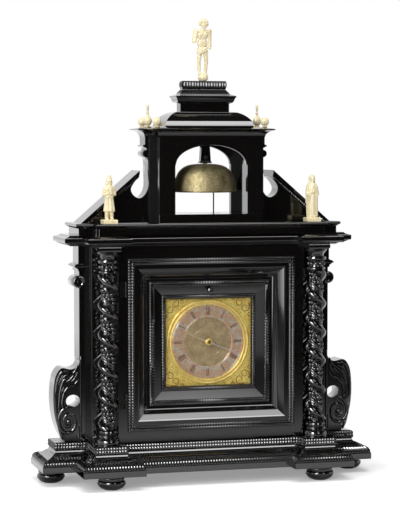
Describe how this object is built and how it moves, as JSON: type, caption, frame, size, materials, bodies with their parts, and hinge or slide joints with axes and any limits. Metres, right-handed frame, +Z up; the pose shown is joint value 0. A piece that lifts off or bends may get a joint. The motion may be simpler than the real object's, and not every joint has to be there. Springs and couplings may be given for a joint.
{
  "type": "automaton clock",
  "caption": "Free-standing architectural table clock: stepped case, twisted columns, sunken square door with dial, broken pediment, arched bell turret, turning figures and finials.",
  "frame": {"origin": "middle of the footprint, on the surface the feet stand on", "axes": "+X to the right seen from the front, +Y to the back, +Z up; the front faces -Y"},
  "size_m": [0.5566, 0.1926, 0.7526],
  "materials": {
    "ebony": "polished, nearly black",
    "oak": "plain, unfinished inside",
    "ivory": "warm, softly polished",
    "bell_metal": "polished",
    "brass": "satin",
    "gilt": "gilded and engraved",
    "copper": "worn gilt with silvered patches",
    "steel": "polished",
    "iron": "blackened"
  },
  "bodies": {
    "case": {"feet": "ebony", "base_slab": "ebony", "base_flare": "ebony", "base_block": "ebony", "case_sides": "ebony", "case_front": "ebony", "case_breakfront": "ebony", "case_back": "ebony", "case_top": "oak", "movement_shelf": "oak", "column_shafts": "ebony", "column_ends": "ebony", "consoles": "ebony", "main_cornice": "ebony", "attic_block": "ebony", "attic_cornice": "ebony", "pediments": "ebony", "raking_cornices": "ebony", "belfry_base": "ebony", "belfry_arches": "ebony", "belfry_sides": "ebony", "belfry_cornice": "ebony", "roof_cushion": "ebony", "roof_neck": "ebony", "figure_plinth": "ebony", "ball_finials": "ivory", "spired_finials": "ivory", "bell": "bell_metal", "bell_stay": "ebony", "bell_bolt": "iron", "hinge_plates": "iron", "dial_plate": "gilt", "dial_ring": "gilt", "chapter_ring": "copper", "plate_front": "brass", "plate_back": "brass"},
    "left_figure": {"figure_left": "ivory", "spindle_left": "steel"},
    "right_figure": {"figure_right": "ivory", "spindle_right": "steel"},
    "link": {"figure_link": "steel"},
    "top_figure": {"figure_top": "ivory"},
    "front_door": {"door_frame": "ebony", "door_ripples": "ebony", "door_hinges": "iron"},
    "catch": {"door_knob": "ebony"},
    "back_door": {"rear_door": "ebony", "rear_hinges": "iron"},
    "latch": {"rear_latch": "brass"},
    "disc": {"centre_disc": "gilt"},
    "hour": {"hour_wheel": "brass", "hour_hand": "steel"},
    "great": {"great_wheel": "brass"},
    "second": {"second_wheel": "brass"},
    "crown": {"crown_wheel": "brass"},
    "verge": {"balance": "steel"},
    "strike_great": {"strike_great_wheel": "brass"},
    "strike_second": {"pin_wheel": "brass"},
    "strike_fly": {"fly": "brass"},
    "hammer": {"bell_hammer": "steel"}
  },
  "joints": [
    {"name": "great_spin", "type": "hinge", "parent": "case", "child": "great", "pos_m": [-0.03, 0.005, 0.185], "axis": [0, -1, 0], "continuous": true},
    {"name": "hour_spin", "type": "hinge", "parent": "case", "child": "hour", "pos_m": [0, 0.005, 0.225], "axis": [0, -1, 0], "continuous": true},
    {"name": "second_spin", "type": "hinge", "parent": "case", "child": "second", "pos_m": [-0.04, 0.005, 0.21854], "axis": [0, -1, 0], "continuous": true},
    {"name": "crown_spin", "type": "hinge", "parent": "case", "child": "crown", "pos_m": [-0.028, 0.017, 0.2407], "axis": [0, -1, 0], "continuous": true},
    {"name": "verge_swing", "type": "hinge", "parent": "case", "child": "verge", "pos_m": [-0.028, 0.0245, 0.24], "axis": [0, 0, 1], "range_deg": [-30, 30]},
    {"name": "strike_great_spin", "type": "hinge", "parent": "case", "child": "strike_great", "pos_m": [0.03, 0.035, 0.185], "axis": [0, -1, 0], "continuous": true},
    {"name": "strike_second_spin", "type": "hinge", "parent": "case", "child": "strike_second", "pos_m": [0.04, 0.03, 0.21854], "axis": [0, -1, 0], "continuous": true},
    {"name": "fly_spin", "type": "hinge", "parent": "case", "child": "strike_fly", "pos_m": [0.028, 0.03, 0.2407], "axis": [0, -1, 0], "continuous": true},
    {"name": "hammer_swing", "type": "hinge", "parent": "case", "child": "hammer", "pos_m": [0.0147, 0.006, 0.299], "axis": [0, 1, 0], "range_deg": [0, 2], "stiffness_Nm_per_rad": 0.03, "springref_deg": -5.73},
    {"name": "disc_turn", "type": "hinge", "parent": "case", "child": "disc", "pos_m": [0, -0.0116, 0.225], "axis": [0, -1, 0], "continuous": true},
    {"name": "front_door_hinge", "type": "hinge", "parent": "case", "child": "front_door", "pos_m": [-0.1433, -0.0397, 0.225], "axis": [0, 0, -1], "range_deg": [0, 95]},
    {"name": "catch_turn", "type": "hinge", "parent": "front_door", "child": "catch", "pos_m": [0, -0.0125, 0.31015], "axis": [0, -1, 0], "range_deg": [0, 90]},
    {"name": "back_door_hinge", "type": "hinge", "parent": "case", "child": "back_door", "pos_m": [0.0965, 0.0706, 0.225], "axis": [0, 0, -1], "range_deg": [0, 110]},
    {"name": "latch_turn", "type": "hinge", "parent": "case", "child": "latch", "pos_m": [-0.104, 0.0695, 0.225], "axis": [0, -1, 0], "range_deg": [0, 90]},
    {"name": "left_figure_turn", "type": "hinge", "parent": "case", "child": "left_figure", "pos_m": [-0.1703, -0.038, 0.42], "axis": [0, 0, 1], "range_deg": [-40, 40]},
    {"name": "right_figure_turn", "type": "hinge", "parent": "case", "child": "right_figure", "pos_m": [0.1703, -0.038, 0.42], "axis": [0, 0, 1], "range_deg": [-40, 40]},
    {"name": "link_pivot", "type": "hinge", "parent": "left_figure", "child": "link", "pos_m": [-0.1703, -0.024, 0.4085], "axis": [0, 0, 1], "range_deg": [-40, 40]},
    {"name": "top_figure_turn", "type": "hinge", "parent": "case", "child": "top_figure", "pos_m": [0, 0.018, 0.65], "axis": [0, 0, 1], "continuous": true}
  ],
  "couplings": [
    {"joint": "hour_spin", "follows": "great_spin", "ratio": -1.5},
    {"joint": "second_spin", "follows": "great_spin", "ratio": -6},
    {"joint": "crown_spin", "follows": "great_spin", "ratio": 36},
    {"joint": "strike_second_spin", "follows": "strike_great_spin", "ratio": -6},
    {"joint": "fly_spin", "follows": "strike_great_spin", "ratio": 36},
    {"joint": "right_figure_turn", "follows": "left_figure_turn", "ratio": 1},
    {"joint": "link_pivot", "follows": "left_figure_turn", "ratio": -1}
  ]
}
